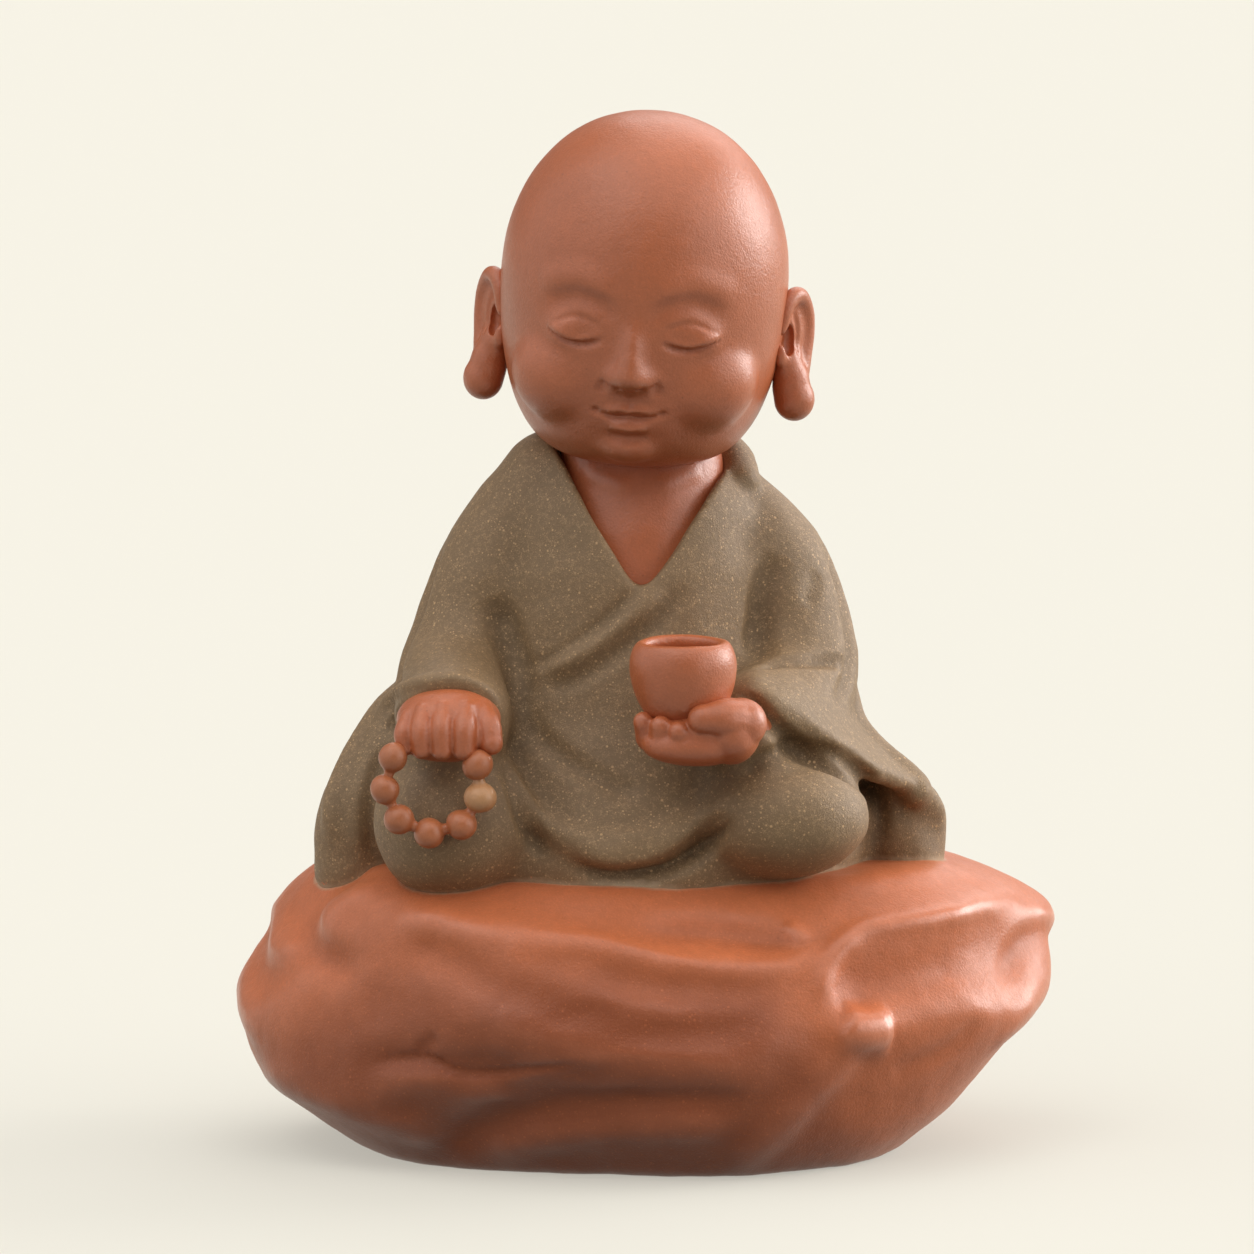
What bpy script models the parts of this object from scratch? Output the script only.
"""Seated monk tea pet in unglazed clay: a hollow rock, a hollow robed figure and the pieces luted onto it.

Metres, +Z up. The figure faces -Y, its left hand with the cup is on the +X side and its right hand with
the beads is on the -X side. The origin is the middle of the underside.
"""

import math

import bmesh
import bpy
from mathutils import Euler, Matrix, Vector, geometry

# Fits and walls
FIT_GAP = 0.0003
ROCK_WALL = 0.0045
ROBE_WALL = 0.0045
HEAD_WALL = 0.0034

# Rock: the seat is its flat top, and each reach is the furthest that side goes out
ROCK_HEIGHT = 0.0335
ROCK_BEAD_REACH = 0.0475
ROCK_CUP_REACH = 0.0480
ROCK_FRONT_REACH = 0.0369
ROCK_BACK_REACH = 0.0360
ROCK_EDGE_SOFTNESS = 0.0040
ROCK_RELIEF_HEIGHT = 0.0010
ROCK_RELIEF_SPREAD = 0.0010
SEAT_HOLE_HALF_WIDTH = 0.0110
SEAT_HOLE_HALF_DEPTH = 0.0080

# Robe, measured from the middle of the figure on the seat
FIGURE_X = -0.0012
FIGURE_Y = 0.0020
ROBE_HEIGHT = 0.0505
ROBE_SINK = 0.0040
LAP_BEAD_REACH = 0.0290
LAP_CUP_REACH = 0.0272
LAP_FRONT_REACH = 0.0252
ROBE_BACK_REACH = 0.0200
KNEE_HEIGHT = 0.0072
BEAD_KNEE_RADIUS = 0.0086
BEAD_KNEE_OUT = 0.0218
CUP_KNEE_RADIUS = 0.0102
CUP_KNEE_OUT = 0.0163
KNEE_FORWARD = 0.0195
NECKLINE_RISE = 0.0332
NECKLINE_HALF_WIDTH = 0.0129
FOLD_HEIGHT = 0.0010
FOLD_SPREAD = 0.0010

# Sleeves
SHOULDER_RADIUS = 0.0077
ARM_RADIUS = 0.0083
CUFF_RADIUS = 0.0070
SLEEVE_TIP_RADIUS = 0.0060

# Chest and neck
CHEST_RISE = 0.0245
CHEST_HALF_WIDTH = 0.0115
CHEST_FRONT_REACH = 0.0134
CHEST_BACK_REACH = 0.0095
CHEST_LEDGE = 0.0020
NECK_TENON_RADIUS = 0.0062
NECK_TENON_LENGTH = 0.0055
NECK_BORE_RADIUS = 0.0040

# Head, measured from its own middle
HEAD_RISE = 0.0678
HEAD_FORWARD = 0.0050
HEAD_HALF_WIDTH = 0.0166
HEAD_FACE_REACH = 0.0172
HEAD_BACK_REACH = 0.0180
HEAD_CROWN = 0.0190
HEAD_CHIN = 0.0213
HEAD_CROWN_FULLNESS = 0.92
HEAD_JAW_FULLNESS = 0.68
HEAD_PITCH = math.radians(4.0)
HEAD_ROLL = math.radians(3.5)
HEAD_YAW = math.radians(-4.0)
EAR_DROP = 0.0085
EAR_HALF_HEIGHT = 0.0076
EAR_STAND_OFF = 0.0026
EAR_LOBE_RADIUS = 0.0031
EAR_SINK = 0.0005
EAR_HALF_DEPTH = 0.0030

# Cup, turned about its own axis
CUP_OUT = 0.0049
CUP_FORWARD = 0.0270
CUP_RISE = 0.0193
CUP_HEIGHT = 0.0096
CUP_BELLY_RADIUS = 0.0060
CUP_RIM_RADIUS = 0.0053
CUP_FOOT_RADIUS = 0.0038
CUP_WALL = 0.0010
CUP_FLOOR = 0.0016

# Hands
PALM_WIDTH = 0.0062
PALM_DEPTH = 0.0050
PALM_THICKNESS = 0.0036
WRIST_RADIUS = 0.0040
FINGER_RADIUS = 0.0013
FINGER_SPACING = 0.0024
FINGER_LENGTH = 0.0036
THUMB_RADIUS = 0.0016
FIST_OUT = 0.0218
FIST_FORWARD = 0.0262
FIST_RISE = 0.0190

# Beads, on part of a round string whose other end lies inside the fist
BEAD_RADIUS = 0.00175
BEAD_COUNT = 7
BEAD_PLACES = 9
BEAD_DROP = 0.0068
BEAD_FORWARD = 0.0033
BEAD_ASIDE = 0.0017

# Fineness of the meshes
ROCK_SEGMENTS = 112
ROBE_VOXEL = 0.0011
ROBE_TRIANGLES = 3000
SLEEVE_TRIANGLES = 620
HAND_VOXEL = 0.0004
HAND_TRIANGLES = 640
EAR_TRIANGLES = 220

# Clay colours, linear
RED_CLAY = (0.40, 0.150, 0.080)
ROCK_CLAY = (0.42, 0.130, 0.058)
ROBE_CLAY = (0.17, 0.122, 0.074)
BEAD_CLAY = (0.46, 0.190, 0.105)
PALE_BEAD_CLAY = (0.56, 0.290, 0.160)

# Relief is drawn as someone in front of the object or behind it sees it, looking slightly down
VIEW_TILT = math.radians(8.0)

UP = Vector((0, 0, 1))
ACROSS = Vector((1, 0, 0))


# Scene helpers

def clear_scene():
    for old in list(bpy.data.objects):
        bpy.data.objects.remove(old, do_unlink=True)


def clay_finish(name, colour, roughness):
    """A plain Principled material in one clay's colour."""
    finish = bpy.data.materials.new(name)
    finish.use_nodes = True
    shader = finish.node_tree.nodes["Principled BSDF"]
    shader.inputs["Base Color"].default_value = (*colour, 1.0)
    shader.inputs["Roughness"].default_value = roughness
    shader.inputs["Metallic"].default_value = 0.0
    return finish


def empty_at(name, place, parent=None, turn=(0, 0, 0)):
    marker = bpy.data.objects.new(name, None)
    bpy.context.scene.collection.objects.link(marker)
    marker.location = place
    marker.rotation_euler = Euler(turn)
    marker.parent = parent
    return marker


def object_from(name, bm, parent=None, finish=None):
    """Turns a bmesh into a smooth-shaded object under its parent."""
    bmesh.ops.recalc_face_normals(bm, faces=bm.faces)
    mesh = bpy.data.meshes.new(name)
    bm.to_mesh(mesh)
    bm.free()
    mesh.shade_smooth()
    mesh.set_sharp_from_angle(angle=math.radians(50))
    made = bpy.data.objects.new(name, mesh)
    bpy.context.scene.collection.objects.link(made)
    made.parent = parent
    if finish:
        mesh.materials.append(finish)
    return made


def as_cutter(tool):
    tool.hide_render = True
    tool.display_type = "WIRE"
    return tool


def final_mesh(shape):
    """The object's mesh with its modifiers worked in."""
    bpy.context.view_layer.update()
    return bpy.data.meshes.new_from_object(shape.evaluated_get(bpy.context.evaluated_depsgraph_get()))


def swollen(shape, gap):
    """A cutter that is the finished shape grown by the gap all over."""
    tool = bpy.data.objects.new(shape.name + "_clearance", final_mesh(shape))
    bpy.context.scene.collection.objects.link(tool)
    tool.parent = shape.parent
    tool.location = shape.location
    tool.rotation_euler = shape.rotation_euler
    grow = tool.modifiers.new("grow", "DISPLACE")
    grow.strength = gap
    grow.mid_level = 0.0
    return as_cutter(tool)


def combine(shape, tool, operation):
    step = shape.modifiers.new(operation.lower() + "_" + tool.name, "BOOLEAN")
    step.operation = operation
    step.solver = "EXACT"
    step.object = tool


def cut(shape, *tools):
    for tool in tools:
        combine(shape, tool, "DIFFERENCE")


# Shape helpers

def smooth_rows(stations, steps):
    """Rows on a smooth curve through the stations, with no overshoot, steps rows to each span."""
    last = len(stations) - 1
    slopes = []
    for i, here in enumerate(stations):
        before = stations[max(i - 1, 0)]
        after = stations[min(i + 1, last)]
        row = []
        for a, b, c in zip(before, here, after):
            rise, run = b - a, c - b
            row.append(2 * rise * run / (rise + run) if rise * run > 0 else 0.0)
        slopes.append(row)
    rows = []
    for i in range(last):
        for step in range(steps):
            t = step / steps
            keep = (1 + 2 * t) * (1 - t) ** 2
            leave = t * (1 - t) ** 2
            reach = t * t * (3 - 2 * t)
            arrive = t * t * (t - 1)
            rows.append([
                keep * a + leave * m + reach * b + arrive * n
                for a, b, m, n in zip(stations[i], stations[i + 1], slopes[i], slopes[i + 1])
            ])
    rows.append(list(stations[last]))
    return rows


def rounded_ring(height, bead_side, cup_side, front, back, segments, power=2.0):
    """A level ring whose four quarters are superellipses with their own reaches."""
    points = []
    for i in range(segments):
        angle = 2 * math.pi * i / segments
        across, along = math.cos(angle), math.sin(angle)
        x = math.copysign(abs(across) ** (2 / power), across) * (cup_side if across > 0 else bead_side)
        y = math.copysign(abs(along) ** (2 / power), along) * (back if along > 0 else front)
        points.append(Vector((x, y, height)))
    return points


def loft(rings, bm=None):
    """Joins rings of equal count into one closed skin with flat ends."""
    bm = bm or bmesh.new()
    loops = [[bm.verts.new(point) for point in ring] for ring in rings]
    count = len(loops[0])
    for low, high in zip(loops, loops[1:]):
        for i in range(count):
            j = (i + 1) % count
            bm.faces.new((low[i], low[j], high[j], high[i]))
    bm.faces.new(list(reversed(loops[0])))
    bm.faces.new(loops[-1])
    return bm


def swept(path, segments, bm=None, steps=3):
    """A round-ended tube along a smooth path of (x, y, z, radius) stations."""
    rows = smooth_rows(path, steps)
    places = [Vector(row[:3]) for row in rows]
    rings = []
    for i, (place, row) in enumerate(zip(places, rows)):
        heading = (places[min(i + 1, len(places) - 1)] - places[max(i - 1, 0)]).normalized()
        side = heading.cross(ACROSS).normalized()
        top = side.cross(heading)
        rings.append([
            place + row[3] * (side * math.cos(a) + top * math.sin(a))
            for a in (2 * math.pi * k / segments for k in range(segments))
        ])
    return loft(rings, bm)


def ellipsoid(bm, place, radii, turn=(0, 0, 0), segments=20):
    shape = Matrix.LocRotScale(Vector(place), Euler(turn), Vector(radii))
    bmesh.ops.create_uvsphere(bm, u_segments=segments, v_segments=segments // 2, radius=1, matrix=shape)
    return bm


def capsule(bm, start, end, radius, segments=14):
    """A finger-like rod with round ends."""
    start, end = Vector(start), Vector(end)
    length = (end - start).length
    made = bmesh.ops.create_uvsphere(bm, u_segments=segments, v_segments=segments // 2 + 1, radius=radius)
    turn = (end - start).to_track_quat("Z", "Y").to_matrix().to_4x4()
    for vert in made["verts"]:
        if vert.co.z > 0:
            vert.co.z += length
        vert.co = Matrix.Translation(start) @ turn @ vert.co
    return bm


def turned(profile, segments):
    """A solid of revolution about Z, from (radius, height) points that start and end on the axis."""
    bm = bmesh.new()
    verts = [bm.verts.new((radius, 0, height)) for radius, height in profile]
    edges = [bm.edges.new(pair) for pair in zip(verts, verts[1:])]
    bmesh.ops.spin(
        bm, geom=verts + edges, cent=(0, 0, 0), axis=UP, dvec=(0, 0, 0),
        angle=2 * math.pi, steps=segments, use_merge=True, use_duplicate=False,
    )
    bmesh.ops.remove_doubles(bm, verts=bm.verts, dist=FIT_GAP / 100)
    return bm


def relief_at(point, lines, across, rise, height, spread):
    """How far drawn lines lift a point of the skin, or press it in: lines of (height, spread, points)."""
    spot = Vector((point.x, point.z * math.cos(VIEW_TILT) + point.y * math.sin(VIEW_TILT)))
    lift = 0.0
    for tall, wide, line in lines:
        knots = [Vector((x * across, z * rise)) for x, z in line]
        away = spread * wide
        for start, end in zip(knots, knots[1:]):
            foot, share = geometry.intersect_point_line(spot, start, end)
            nearest = start if share < 0 else end if share > 1 else foot.to_2d()
            away = min(away, (spot - nearest).length)
        lift += height * tall * (0.5 + 0.5 * math.cos(math.pi * away / (spread * wide)))
    return lift


def from_behind(point):
    """Where a point lies for someone who has walked round to the back."""
    return Vector((-point.x, -point.y, point.z))


def pressed_clay(name, bm, voxel, triangles, parent, finish, rubbing=6, folds=None):
    """Overlapping lumps pressed into one skin, rubbed smooth, folded and thinned to a triangle count."""
    piece = object_from(name, bm, parent, finish)
    blend = piece.modifiers.new("blend", "REMESH")
    blend.mode = "VOXEL"
    blend.voxel_size = voxel
    rub = piece.modifiers.new("rub", "SMOOTH")
    rub.factor = 0.5
    rub.iterations = rubbing
    piece.data = final_mesh(piece)
    piece.data.name = name
    piece.modifiers.clear()
    if folds:
        moves = [vert.normal * folds(vert.co, vert.normal) for vert in piece.data.vertices]
        for vert, move in zip(piece.data.vertices, moves):
            vert.co += move
    thin = piece.modifiers.new("thin", "DECIMATE")
    thin.ratio = min(1.0, triangles / (2 * len(piece.data.polygons)))
    thin.use_collapse_triangulate = True
    return piece


def drill(name, radius_x, radius_y, low, high, parent=None, segments=24):
    """An upright cutter with an oval section."""
    rings = [
        rounded_ring(height, radius_x, radius_x, radius_y, radius_y, segments)
        for height in (low, high)
    ]
    return as_cutter(object_from(name, loft(rings), parent))


# Rock

ROCK_STATIONS = (
    # share of the height, then of the bead, cup, front and back reaches
    (0.000, 0.715, 0.615, 0.745, 0.700),
    (0.025, 0.740, 0.635, 0.770, 0.725),
    (0.130, 0.845, 0.725, 0.865, 0.810),
    (0.300, 0.970, 0.825, 0.950, 0.900),
    (0.480, 1.000, 0.925, 0.985, 0.970),
    (0.660, 0.985, 0.990, 1.000, 1.000),
    (0.780, 0.950, 1.000, 0.980, 0.975),
    (0.880, 0.890, 0.905, 0.900, 0.880),
    (0.955, 0.810, 0.780, 0.770, 0.750),
    (1.000, 0.715, 0.680, 0.640, 0.600),
)


ROCK_FACES = (
    # compass angle from the front towards the cup, tilt upwards, and distance as a share of the front reach
    (-40, 12, 1.035), (34, -16, 0.935), (-12, -38, 0.813), (58, 30, 1.043), (-74, 36, 1.084),
    (150, 14, 0.976), (-140, -6, 1.003), (12, 42, 0.726),
)


ROCK_RELIEF = (
    # height, spread, then points across and up as shares of the cup reach and the height
    # valley beside the bead shoulder, and the lobe next to it
    (-1.8, 3.0, ((-0.718, 0.941), (-0.800, 0.872), (-0.848, 0.783), (-0.829, 0.693), (-0.747, 0.624))),
    (0.8, 2.6, ((-0.694, 0.886), (-0.762, 0.803), (-0.771, 0.727))),
    # brow, the dent behind it and the long fold under it
    (1.2, 3.2, ((-0.554, 0.776), (-0.241, 0.714), (0.000, 0.662), (0.169, 0.631), (0.337, 0.634))),
    (-1.5, 2.2, ((0.000, 0.724), (0.121, 0.727), (0.229, 0.707), (0.318, 0.686))),
    (-1.2, 2.8, ((-0.530, 0.679), (-0.352, 0.548), (-0.186, 0.455), (0.024, 0.379), (0.193, 0.382))),
    # crease low on the bead side, over its lip
    (-1.0, 2.2, ((-0.670, 0.275), (-0.591, 0.305), (-0.511, 0.305), (-0.431, 0.265), (-0.331, 0.260))),
    (0.6, 2.4, ((-0.651, 0.215), (-0.554, 0.236), (-0.434, 0.200), (-0.350, 0.192))),
    # valley that climbs from the foot, the lobe under it and the edge beside it
    (-1.6, 3.0, ((-0.492, -0.032), (-0.431, 0.057), (-0.352, 0.106), (-0.219, 0.151), (0.169, 0.171))),
    (0.7, 2.8, ((-0.350, -0.026), (-0.253, 0.023), (-0.072, 0.071), (0.121, 0.068))),
    (0.9, 2.6, ((-0.904, 0.230), (-0.735, 0.126), (-0.550, 0.050), (-0.470, -0.026))),
    # scoop on the cup side with its ridge, lobe and pocket, and the corner that runs down from it
    (-2.3, 5.6, ((0.535, 0.537), (0.651, 0.572), (0.771, 0.624), (0.880, 0.676))),
    (1.2, 2.6, ((0.424, 0.572), (0.439, 0.644), (0.480, 0.714), (0.550, 0.752), (0.868, 0.831))),
    (1.7, 2.8, ((0.472, 0.410), (0.494, 0.396), (0.521, 0.403))),
    (-1.2, 2.2, ((0.463, 0.596), (0.482, 0.537), (0.497, 0.475))),
    (1.1, 3.2, ((0.448, 0.313), (0.381, 0.192), (0.301, 0.075), (0.217, -0.084))),
)


ROCK_BACK_RELIEF = (
    # shoulder of the back, the two valleys under it and the swell over its foot
    (1.0, 4.5, ((-0.62, 0.72), (-0.33, 0.66), (0.00, 0.72), (0.29, 0.66), (0.58, 0.69))),
    (-1.2, 4.2, ((-0.58, 0.45), (-0.29, 0.33), (0.04, 0.42), (0.31, 0.27))),
    (-1.0, 3.6, ((0.12, 0.60), (0.33, 0.45), (0.54, 0.42), (0.69, 0.51))),
    (0.8, 3.8, ((-0.46, 0.18), (-0.12, 0.12), (0.21, 0.21), (0.50, 0.15))),
)


def carved(point):
    """Works the relief into a point of the boulder's skin, but not at its outline or foot."""
    clear_of_outline = min(4 * abs(point.y) / ROCK_FRONT_REACH, 1.0)
    clear_of_foot = min(8 * point.z / ROCK_HEIGHT, 1.0)
    seen, lines = (point, ROCK_RELIEF) if point.y < 0 else (from_behind(point), ROCK_BACK_RELIEF)
    outward = Vector((
        point.x / ROCK_CUP_REACH ** 2,
        point.y / ROCK_FRONT_REACH ** 2,
        (point.z - ROCK_HEIGHT / 2) / ROCK_HEIGHT ** 2,
    )).normalized()
    lift = relief_at(seen, lines, ROCK_CUP_REACH, ROCK_HEIGHT, ROCK_RELIEF_HEIGHT, ROCK_RELIEF_SPREAD)
    return point + outward * lift * clear_of_outline * clear_of_foot


def worn(point, inset):
    """Draws the boulder, or its hollow inside, level inwards to the rock's softly broken faces."""
    middle = Vector((0, 0, ROCK_HEIGHT / 2))
    for compass, tilt, share_out in ROCK_FACES:
        turn, lift = math.radians(compass), math.radians(tilt)
        level = Vector((math.sin(turn), -math.cos(turn), 0))
        facing = level * math.cos(lift) + UP * math.sin(lift)
        proud = (point - middle).dot(facing) - share_out * ROCK_FRONT_REACH + inset
        share = min(max((proud + ROCK_EDGE_SOFTNESS) / (2 * ROCK_EDGE_SOFTNESS), 0.0), 1.0)
        drawn = max(proud, ROCK_EDGE_SOFTNESS * share * share)
        point = point - level * (0.8 * drawn / math.cos(lift))
    return point


def rock_rings(inset, top, steps, segments):
    rings = []
    for share, bead, cup, front, back in smooth_rows(ROCK_STATIONS, steps):
        ring = rounded_ring(
            share * top,
            bead * ROCK_BEAD_REACH - inset, cup * ROCK_CUP_REACH - inset,
            front * ROCK_FRONT_REACH - inset, back * ROCK_BACK_REACH - inset,
            segments, 2.15,
        )
        rings.append([worn(point, inset) for point in ring])
    return rings


def make_rock(finish):
    """A boulder cast hollow: open underneath, with a hole in its seat under the figure."""
    rings = rock_rings(0.0, ROCK_HEIGHT, 3, ROCK_SEGMENTS)
    rings[1:-1] = [[carved(point) for point in ring] for ring in rings[1:-1]]
    rock = object_from("rock_base", loft(rings), None, finish)
    hollow = loft(rock_rings(ROCK_WALL, ROCK_HEIGHT - ROCK_WALL, 1, ROCK_SEGMENTS // 4))
    for vert in hollow.verts:
        if vert.co.z <= 0:
            vert.co.z -= ROCK_WALL
    hole = drill(
        "seat_hole", SEAT_HOLE_HALF_WIDTH, SEAT_HOLE_HALF_DEPTH,
        ROCK_HEIGHT - 2 * ROCK_WALL, ROCK_HEIGHT + ROCK_WALL,
    )
    hole.location = (FIGURE_X, FIGURE_Y, 0)
    cut(rock, as_cutter(object_from("rock_hollow", hollow)), hole)
    return rock


# Robe

ROBE_STATIONS = (
    # share of the height, then of the lap's two side reaches, its front reach and the back reach
    (0.000, 0.96, 0.97, 0.95),
    (0.030, 1.00, 1.00, 0.98),
    (0.120, 0.975, 0.98, 1.00),
    (0.240, 0.84, 0.855, 0.99),
    (0.360, 0.70, 0.73, 0.965),
    (0.520, 0.62, 0.665, 0.91),
    (0.680, 0.585, 0.62, 0.84),
    (0.820, 0.535, 0.535, 0.75),
    (0.920, 0.435, 0.42, 0.625),
    (1.000, 0.330, 0.32, 0.50),
)


ROBE_FOLDS = (
    # height, spread, then points across and up as shares of the lap's front reach and the robe's height
    # lapel that crosses the breast, and the line under it
    (0.8, 3.0, ((0.111, 0.612), (-0.012, 0.553), (-0.155, 0.497), (-0.298, 0.452), (-0.429, 0.424))),
    (-0.9, 2.6, ((0.214, 0.606), (0.095, 0.541), (-0.032, 0.485), (-0.179, 0.432), (-0.444, 0.374))),
    # hanging flap of the lap, with the hollows under and beside it and the fold above
    (1.0, 3.0, (
        (-0.619, 0.236), (-0.563, 0.162), (-0.484, 0.101), (-0.369, 0.053), (-0.175, 0.028), (0.020, 0.036),
        (0.163, 0.065), (0.278, 0.123),
    )),
    (-1.3, 2.8, ((-0.294, -0.024), (-0.119, -0.048), (0.083, -0.040), (0.250, 0.006), (0.425, 0.079))),
    (-1.2, 2.6, ((-0.643, 0.206), (-0.595, 0.139), (-0.544, 0.065), (-0.441, 0.004))),
    (-0.8, 2.8, ((-0.520, 0.311), (-0.444, 0.259), (-0.310, 0.206), (-0.127, 0.158), (0.020, 0.139))),
)


ROBE_BACK_FOLDS = (
    # hollow inside each sleeve, and the two soft folds that fall between them
    (-1.0, 3.0, ((-0.40, 0.76), (-0.48, 0.55), (-0.52, 0.35), (-0.60, 0.16))),
    (-1.0, 3.0, ((0.31, 0.76), (0.41, 0.55), (0.45, 0.35), (0.53, 0.14))),
    (0.8, 3.2, ((-0.13, 0.59), (-0.17, 0.39), (-0.25, 0.17), (-0.32, 0.00))),
    (-0.8, 2.8, ((0.03, 0.51), (0.06, 0.31), (0.11, 0.12), (0.19, -0.02))),
)


def robe_fold(point, facing):
    """How far the folds lift the robe's skin at a point that faces a given way."""
    turned_to_us = min(2 * abs(facing.y), 1.0)
    seen, lines = (point, ROBE_FOLDS) if facing.y < 0 else (from_behind(point), ROBE_BACK_FOLDS)
    return turned_to_us * relief_at(seen, lines, LAP_FRONT_REACH, ROBE_HEIGHT, FOLD_HEIGHT, FOLD_SPREAD)


def robe_rings(inset, low_share, high_share, segments):
    rings = []
    for share, side, front, back in smooth_rows(ROBE_STATIONS, 2):
        if low_share <= share <= high_share:
            rings.append(rounded_ring(
                share * ROBE_HEIGHT,
                side * LAP_BEAD_REACH - inset, side * LAP_CUP_REACH - inset,
                front * LAP_FRONT_REACH - inset, back * ROBE_BACK_REACH - inset,
                segments, 2.1,
            ))
    return rings


def make_robe(figure, finish):
    """Torso, lap and both knees as one hollow casting, open below."""
    rings = robe_rings(0.0, 0.0, 1.0, 48)
    footing = [point - Vector((0, 0, ROBE_SINK)) for point in rings[0]]
    lump = loft([footing] + rings)
    ellipsoid(
        lump, (-BEAD_KNEE_OUT, -KNEE_FORWARD, KNEE_HEIGHT),
        (BEAD_KNEE_RADIUS, BEAD_KNEE_RADIUS, BEAD_KNEE_RADIUS),
    )
    ellipsoid(
        lump, (CUP_KNEE_OUT, -KNEE_FORWARD, KNEE_HEIGHT),
        (CUP_KNEE_RADIUS, CUP_KNEE_RADIUS * 0.94, CUP_KNEE_RADIUS * 0.72),
    )
    robe = pressed_clay("robe_body", lump, ROBE_VOXEL, ROBE_TRIANGLES, figure, finish, folds=robe_fold)

    hollow_rings = robe_rings(ROBE_WALL, 0.0, CHEST_RISE / ROBE_HEIGHT - 0.06, 24)
    under = [point - Vector((0, 0, 2 * ROBE_SINK)) for point in hollow_rings[0]]
    throat_x = CHEST_HALF_WIDTH - CHEST_LEDGE - FIT_GAP
    throat_y = CHEST_BACK_REACH - CHEST_LEDGE - FIT_GAP
    throat = [
        rounded_ring(CHEST_RISE + lift, throat_x, throat_x, throat_y, throat_y, 24)
        for lift in (0.0, CHEST_LEDGE)
    ]
    hollow = object_from("robe_hollow", loft([under] + hollow_rings + throat), figure)
    outside = swollen(robe, FIT_GAP)
    cut(robe, as_cutter(hollow))
    return robe, outside


def neckline_cutter(figure):
    """The V of the crossed lapels, as a wedge pushed in from the front."""
    top = ROBE_HEIGHT + ROBE_SINK
    spread = NECKLINE_HALF_WIDTH * (top - NECKLINE_RISE) / (ROBE_HEIGHT - NECKLINE_RISE)
    outline = ((0.0, NECKLINE_RISE), (spread, top), (-spread, top))
    rings = [
        [Vector((x, depth, z)) for x, z in outline]
        for depth in (-2 * CHEST_FRONT_REACH, -CHEST_FRONT_REACH / 2)
    ]
    return as_cutter(object_from("neckline_wedge", loft(rings), figure))


# Sleeves: an arm from shoulder to cuff, and the cloth that hangs from it down to the rock.
# Each row has shares of the lap's side and front reaches and of the robe's height, then of the radius.

BEAD_ARM = (
    (-0.221, 0.020, 0.915, 0.30),
    (-0.317, 0.000, 0.832, 1.00),
    (-0.528, -0.020, 0.653, 1.00),
    (-0.672, -0.159, 0.446, 1.00),
    (-0.731, -0.496, 0.376, 1.00),
    (-0.738, -0.813, 0.366, 1.00),
    (-0.738, -0.893, 0.364, 0.60),
)
BEAD_DRAPE = (
    (-0.621, -0.119, 0.426, 0.60),
    (-0.731, -0.159, 0.337, 1.30),
    (-0.903, -0.179, 0.218, 1.20),
    (-1.090, -0.198, 0.089, 1.06),
    (-1.124, -0.198, -0.030, 0.95),
    (-1.124, -0.198, -0.089, 0.50),
)
CUP_ARM = (
    (0.213, 0.020, 0.915, 0.30),
    (0.309, 0.000, 0.832, 1.00),
    (0.511, -0.020, 0.653, 1.00),
    (0.632, -0.139, 0.446, 1.00),
    (0.574, -0.516, 0.352, 1.00),
    (0.471, -0.813, 0.327, 1.00),
    (0.434, -0.905, 0.323, 0.60),
)
CUP_DRAPE = (
    (0.581, -0.119, 0.426, 0.60),
    (0.669, -0.119, 0.317, 1.20),
    (0.787, -0.060, 0.178, 1.00),
    (1.029, 0.040, 0.069, 0.95),
    (1.103, 0.040, -0.030, 0.85),
    (1.103, 0.040, -0.089, 0.45),
)
ARM_RADII = (
    SHOULDER_RADIUS, SHOULDER_RADIUS, ARM_RADIUS, ARM_RADIUS, CUFF_RADIUS, CUFF_RADIUS, CUFF_RADIUS,
)


def sleeve_path(rows, side_reach, radii):
    """Points and radii of a sleeve's tube, from its rows of shares."""
    return [
        (side * side_reach, ahead * LAP_FRONT_REACH, rise * ROBE_HEIGHT, share * radius)
        for (side, ahead, rise, share), radius in zip(rows, radii)
    ]


def make_sleeve(name, arm, drape, side_reach, figure, finish):
    lump = swept(sleeve_path(arm, side_reach, ARM_RADII), 20)
    swept(sleeve_path(drape, side_reach, [SLEEVE_TIP_RADIUS] * len(drape)), 20, lump)
    return pressed_clay(name, lump, ROBE_VOXEL, SLEEVE_TRIANGLES, figure, finish)


# Chest and neck

CHEST_STATIONS = (
    # share of the chest's height, then of its half width, front reach and back reach
    (0.00, 0.87, 0.86, 0.92),
    (0.30, 1.00, 1.00, 1.00),
    (0.55, 0.97, 0.91, 0.95),
    (0.80, 0.85, 0.74, 0.90),
    (1.00, 0.72, 0.62, 0.84),
)


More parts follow.
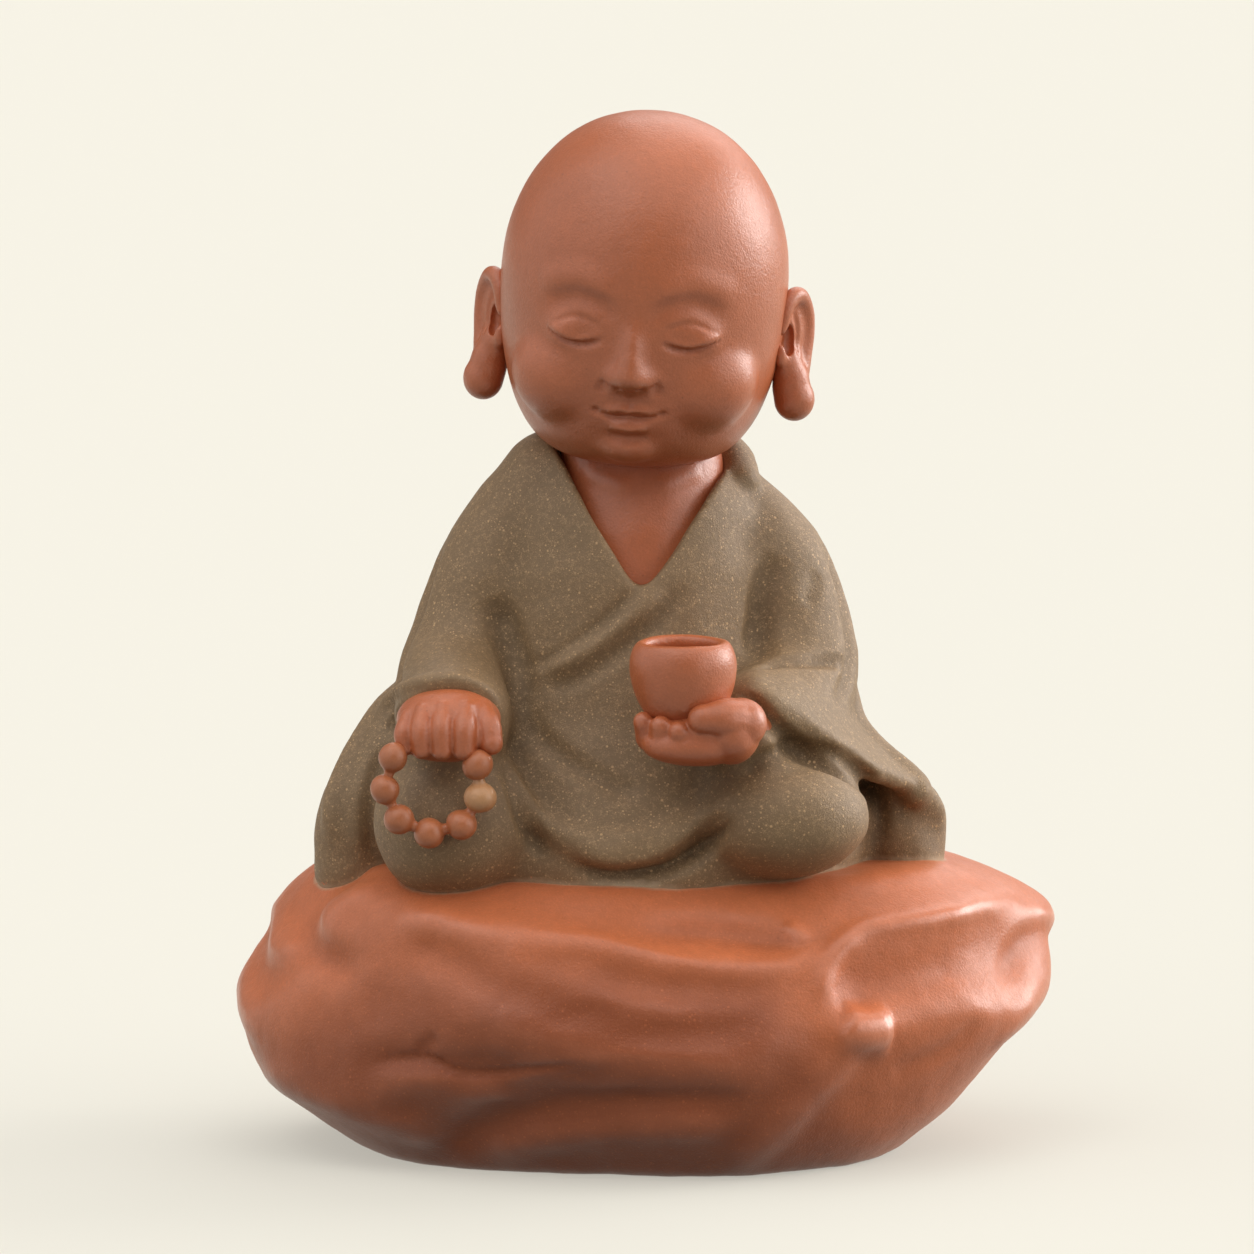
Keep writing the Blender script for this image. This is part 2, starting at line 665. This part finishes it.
def make_chest(figure, head, head_tool, finish):
    """Neck and breast in skin-coloured clay, with a bored tenon that locates the head."""
    height = ROBE_HEIGHT - CHEST_RISE
    rings = [
        rounded_ring(
            CHEST_RISE + share * height, side * CHEST_HALF_WIDTH, side * CHEST_HALF_WIDTH,
            front * CHEST_FRONT_REACH, back * CHEST_BACK_REACH, 28,
        )
        for share, side, front, back in smooth_rows(CHEST_STATIONS, 2)
    ]
    chest = object_from("chest", loft(rings), figure, finish)
    outside = swollen(chest, FIT_GAP)
    tenon = drill(
        "neck_tenon", NECK_TENON_RADIUS, NECK_TENON_RADIUS,
        -HEAD_CHIN - 2 * NECK_TENON_LENGTH, -HEAD_CHIN + NECK_TENON_LENGTH, head,
    )
    bore = drill("neck_bore", NECK_BORE_RADIUS, NECK_BORE_RADIUS, 0.0, HEAD_RISE, figure, 20)
    throat = Matrix.LocRotScale(head.location, head.rotation_euler, None) @ Vector((0, 0, -HEAD_CHIN))
    bore.location = (throat.x, throat.y, 0)
    cut(chest, head_tool)
    combine(chest, tenon, "UNION")
    cut(chest, bore)
    return outside


# Head and ears

def head_rings(inset, rows, segments):
    """Level rings of an egg whose four sides, crown and chin have their own reaches."""
    rings = []
    for i in range(1, rows):
        angle = math.pi * (0.5 * i / rows + 0.25 * (1 - math.cos(math.pi * i / rows)))
        above = angle > math.pi / 2
        full = math.sin(angle) ** (HEAD_CROWN_FULLNESS if above else HEAD_JAW_FULLNESS)
        lift = -math.cos(angle) * ((HEAD_CROWN if above else HEAD_CHIN) - inset)
        side = full * (HEAD_HALF_WIDTH - inset)
        rings.append(rounded_ring(
            lift, side, side, full * (HEAD_FACE_REACH - inset), full * (HEAD_BACK_REACH - inset), segments,
        ))
    return rings


def make_head(head, finish):
    """A hollow head whose neck hole slips over the tenon."""
    shell = object_from("head", loft(head_rings(0.0, 18, 30)), head, finish)
    outside = swollen(shell, FIT_GAP)
    hollow = as_cutter(object_from("head_hollow", loft(head_rings(HEAD_WALL, 10, 18)), head))
    socket = drill(
        "neck_socket", NECK_TENON_RADIUS + FIT_GAP, NECK_TENON_RADIUS + FIT_GAP,
        -2 * HEAD_CHIN, -HEAD_CHIN + NECK_TENON_LENGTH + FIT_GAP, head,
    )
    cut(shell, hollow, socket)
    return outside


def make_ear(name, side, head, head_tool, finish):
    """A long ear: a cupped upper rim running down into a heavy lobe, luted to the side of the head."""
    out = HEAD_HALF_WIDTH - EAR_SINK
    lump = bmesh.new()
    ellipsoid(
        lump,
        (side * (out + 0.2 * EAR_STAND_OFF), 0.40 * EAR_HALF_DEPTH, -EAR_DROP + 0.42 * EAR_HALF_HEIGHT),
        (EAR_STAND_OFF, EAR_HALF_DEPTH, 0.58 * EAR_HALF_HEIGHT),
    )
    ellipsoid(
        lump, (side * out, 0.33 * EAR_HALF_DEPTH, -EAR_DROP - 0.10 * EAR_HALF_HEIGHT),
        (0.9 * EAR_STAND_OFF, 0.83 * EAR_HALF_DEPTH, 0.55 * EAR_HALF_HEIGHT),
    )
    ellipsoid(
        lump, (side * out, 0.27 * EAR_HALF_DEPTH, -EAR_DROP - EAR_HALF_HEIGHT + EAR_LOBE_RADIUS),
        (1.15 * EAR_STAND_OFF, 0.93 * EAR_HALF_DEPTH, EAR_LOBE_RADIUS),
    )
    ear = pressed_clay(name, lump, HAND_VOXEL, EAR_TRIANGLES, head, finish, 3)
    cut(ear, head_tool)
    return ear


# Cup

def cup_outside(grow):
    """Outer profile of the cup, from the middle of its foot up to its rim."""
    return (
        (0.0, -grow),
        (CUP_FOOT_RADIUS + grow, -grow),
        (0.92 * CUP_BELLY_RADIUS + grow, 0.33 * CUP_HEIGHT),
        (CUP_BELLY_RADIUS + grow, 0.66 * CUP_HEIGHT),
        (0.97 * CUP_BELLY_RADIUS + grow, 0.86 * CUP_HEIGHT),
        (CUP_RIM_RADIUS + grow, CUP_HEIGHT),
    )


def make_cup(spot, finish):
    """The cup, and the solid that its place in the hand is cut with."""
    inner = CUP_BELLY_RADIUS - CUP_WALL
    inside = (
        (CUP_RIM_RADIUS - CUP_WALL, CUP_HEIGHT),
        (inner * 0.98, 0.80 * CUP_HEIGHT),
        (inner, 0.62 * CUP_HEIGHT),
        (inner * 0.86, 0.36 * CUP_HEIGHT),
        (inner * 0.55, CUP_FLOOR),
        (0.0, CUP_FLOOR),
    )
    object_from("tea_cup", turned(cup_outside(0.0) + inside, 22), spot, finish)
    plug = cup_outside(FIT_GAP) + ((CUP_RIM_RADIUS, 2 * CUP_HEIGHT), (0.0, 2 * CUP_HEIGHT))
    return as_cutter(object_from("cup_clearance", turned(plug, 22), spot))


# Hands

def in_palm(across, back, up):
    """A place in a hand, as shares of the palm's half sizes."""
    return Vector((across * PALM_WIDTH, back * PALM_DEPTH, up * PALM_THICKNESS))


def make_cup_hand(spot, cup_tool, finish):
    """The left hand, cradling the cup's foot with the thumb across the front."""
    lump = bmesh.new()
    ellipsoid(lump, in_palm(0.35, 0.24, -0.27), (1.1 * PALM_WIDTH, PALM_DEPTH, PALM_THICKNESS))
    ellipsoid(lump, in_palm(1.0, 0.04, 0.0), (0.55 * PALM_WIDTH, 0.85 * PALM_DEPTH, 0.92 * PALM_THICKNESS))
    capsule(lump, in_palm(0.94, 0.6, -0.28), in_palm(1.37, 2.1, -0.56), WRIST_RADIUS)
    capsule(lump, in_palm(1.16, -0.44, 0.11), in_palm(0.29, -1.0, 0.11), THUMB_RADIUS)
    for i in range(3):
        swing = math.radians(-158 + 24 * i)
        reach = CUP_FOOT_RADIUS + 0.6 * FINGER_RADIUS
        foot = Vector((math.cos(swing) * reach, math.sin(swing) * reach, -0.5 * FINGER_LENGTH))
        capsule(lump, foot, foot + Vector((0, 0, 0.6 * FINGER_LENGTH)), FINGER_RADIUS)
    hand = pressed_clay("left_hand", lump, HAND_VOXEL, HAND_TRIANGLES, spot, finish, 3)
    cut(hand, cup_tool)
    return hand


def make_fist(spot, finish):
    """The right hand, closed over the string with its knuckles to the front."""
    lump = bmesh.new()
    ellipsoid(lump, in_palm(0.0, 0.2, 0.11), (PALM_WIDTH, PALM_DEPTH, PALM_THICKNESS))
    capsule(lump, in_palm(0.06, 0.9, 0.0), in_palm(0.1, 2.3, 0.0), WRIST_RADIUS)
    for i in range(4):
        knuckle = in_palm(0.0, -0.56, 0.22) + ACROSS * (i - 2.0) * FINGER_SPACING
        capsule(lump, knuckle, knuckle + Vector((0, -FINGER_LENGTH / 6, -FINGER_LENGTH)), FINGER_RADIUS)
    capsule(lump, in_palm(0.68, -0.4, 0.06), in_palm(0.87, -0.64, -0.67), THUMB_RADIUS)
    return pressed_clay("right_hand", lump, HAND_VOXEL, HAND_TRIANGLES, spot, finish, 3)


# Beads

def make_beads(spot, finish, pale_finish):
    """Rolled balls round a string, each a fit gap from the next, the upper places left to the fist."""
    step = 2 * math.pi / BEAD_PLACES
    ring_radius = (BEAD_RADIUS + FIT_GAP / 2) / math.sin(step / 2)
    start = math.radians(145)
    beads = []
    for i in range(BEAD_COUNT):
        angle = start + i * step
        place = Vector((ring_radius * math.cos(angle), 0.0, ring_radius * math.sin(angle)))
        ball = bmesh.new()
        bmesh.ops.create_uvsphere(ball, u_segments=12, v_segments=8, radius=BEAD_RADIUS)
        bead = object_from(f"bead_{i + 1}", ball, spot, pale_finish if i == BEAD_COUNT - 2 else finish)
        bead.location = place
        beads.append(bead)
    return beads


# Assembly

def main():
    clear_scene()
    skin = clay_finish("red_clay", RED_CLAY, 0.52)
    stone = clay_finish("rock_clay", ROCK_CLAY, 0.55)
    cloth = clay_finish("robe_clay", ROBE_CLAY, 0.70)
    bead_clay = clay_finish("bead_clay", BEAD_CLAY, 0.50)
    pale_clay = clay_finish("pale_bead_clay", PALE_BEAD_CLAY, 0.50)

    figure = empty_at("figure", (FIGURE_X, FIGURE_Y, ROCK_HEIGHT))
    head_spot = empty_at("head_middle", (-FIGURE_X / 2, -HEAD_FORWARD, HEAD_RISE), figure,
                         (HEAD_PITCH, HEAD_ROLL, HEAD_YAW))
    cup_spot = empty_at("cup_foot", (CUP_OUT, -CUP_FORWARD, CUP_RISE), figure)
    fist_spot = empty_at("fist", (-FIST_OUT, -FIST_FORWARD, FIST_RISE), figure)
    string_spot = empty_at("string_middle", (-BEAD_ASIDE, -BEAD_FORWARD, -BEAD_DROP), fist_spot)

    rock = make_rock(stone)
    rock_tool = swollen(rock, FIT_GAP)
    head_tool = make_head(head_spot, skin)
    chest_tool = make_chest(figure, head_spot, head_tool, skin)
    for name, side in (("right_ear", -1), ("left_ear", 1)):
        make_ear(name, side, head_spot, head_tool, skin)
    cup_tool = make_cup(cup_spot, skin)
    beads = make_beads(string_spot, bead_clay, pale_clay)
    bead_tools = [swollen(bead, FIT_GAP) for bead in beads]
    fist = make_fist(fist_spot, skin)
    cut(fist, bead_tools[0], bead_tools[-1])
    hand = make_cup_hand(cup_spot, cup_tool, skin)
    hand_tools = [swollen(fist, FIT_GAP), swollen(hand, FIT_GAP)]

    robe, robe_tool = make_robe(figure, cloth)
    cut(robe, rock_tool, chest_tool, head_tool, neckline_cutter(figure), *hand_tools, *bead_tools)
    sleeves = (
        ("right_sleeve", BEAD_ARM, BEAD_DRAPE, LAP_BEAD_REACH),
        ("left_sleeve", CUP_ARM, CUP_DRAPE, LAP_CUP_REACH),
    )
    for name, arm, drape, side_reach in sleeves:
        sleeve = make_sleeve(name, arm, drape, side_reach, figure, cloth)
        cut(sleeve, rock_tool, head_tool, robe_tool, *hand_tools)


main()
